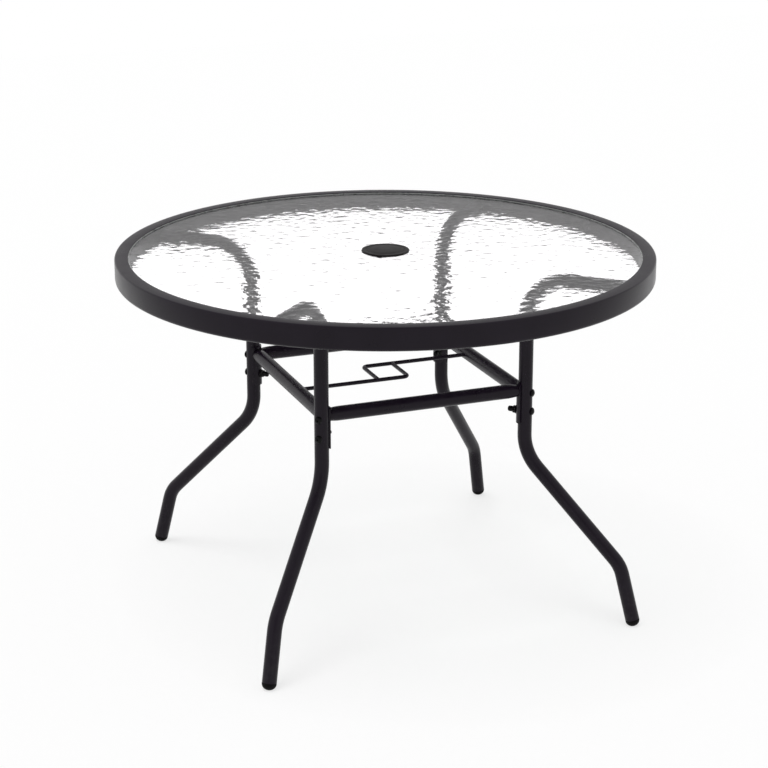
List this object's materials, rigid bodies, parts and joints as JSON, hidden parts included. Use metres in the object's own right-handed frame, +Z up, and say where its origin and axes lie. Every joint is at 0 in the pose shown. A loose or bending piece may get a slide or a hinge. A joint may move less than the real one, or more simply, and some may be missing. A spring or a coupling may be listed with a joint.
{
  "type": "umbrella table",
  "caption": "Round patio table with a glass top in a deep rim, bent tube legs tied by a square of braces, and a capped umbrella hole with a pole guide below.",
  "frame": {"origin": "on the floor, under the middle of the round top", "axes": "+Z up; the legs stand on the diagonals between X and Y, the braces run along X and Y, and the guide rods reach in along X; front is -Y"},
  "size_m": [1.067, 1.067, 0.713],
  "materials": {
    "frame_coat": "satin charcoal powder coat",
    "top_glass": "clear tempered glass with a rippled underside",
    "clear_vinyl": "clear flexible vinyl",
    "black_plastic": "fine-grained black plastic",
    "black_steel": "black oxide, slightly glossy"
  },
  "bodies": {
    "table": {"table_rim": "frame_coat", "glass_top": "top_glass", "glass_gasket": "clear_vinyl", "umbrella_ring": "black_plastic", "leg_front_right": "frame_coat", "leg_back_right": "frame_coat", "leg_back_left": "frame_coat", "leg_front_left": "frame_coat", "foot_cap_front_right": "black_plastic", "foot_cap_back_right": "black_plastic", "foot_cap_back_left": "black_plastic", "foot_cap_front_left": "black_plastic", "leg_bracket_front_right": "frame_coat", "leg_bracket_back_right": "frame_coat", "leg_bracket_back_left": "frame_coat", "leg_bracket_front_left": "frame_coat", "upper_bolt_front_right": "black_steel", "upper_bolt_back_right": "black_steel", "upper_bolt_back_left": "black_steel", "upper_bolt_front_left": "black_steel", "lower_bolt_front_right": "black_steel", "lower_bolt_back_right": "black_steel", "lower_bolt_back_left": "black_steel", "lower_bolt_front_left": "black_steel", "bolt_washer_front_right": "black_steel", "bolt_washer_back_right": "black_steel", "bolt_washer_back_left": "black_steel", "bolt_washer_front_left": "black_steel", "cap_nut_front_right": "black_steel", "cap_nut_back_right": "black_steel", "cap_nut_back_left": "black_steel", "cap_nut_front_left": "black_steel", "rim_tab_front_right": "frame_coat", "rim_tab_back_right": "frame_coat", "rim_tab_back_left": "frame_coat", "rim_tab_front_left": "frame_coat", "tab_screw_front_right": "black_steel", "tab_screw_back_right": "black_steel", "tab_screw_back_left": "black_steel", "tab_screw_front_left": "black_steel", "brace_front": "frame_coat", "brace_right": "frame_coat", "brace_back": "frame_coat", "brace_left": "frame_coat", "guide_rod_left": "frame_coat", "guide_rod_right": "frame_coat"},
    "cap": {"umbrella_cap": "black_plastic"}
  },
  "joints": [
    {"name": "cap_lift", "type": "slide", "parent": "table", "child": "cap", "axis": [0, 0, 1], "range_m": [0, 0.06]}
  ]
}
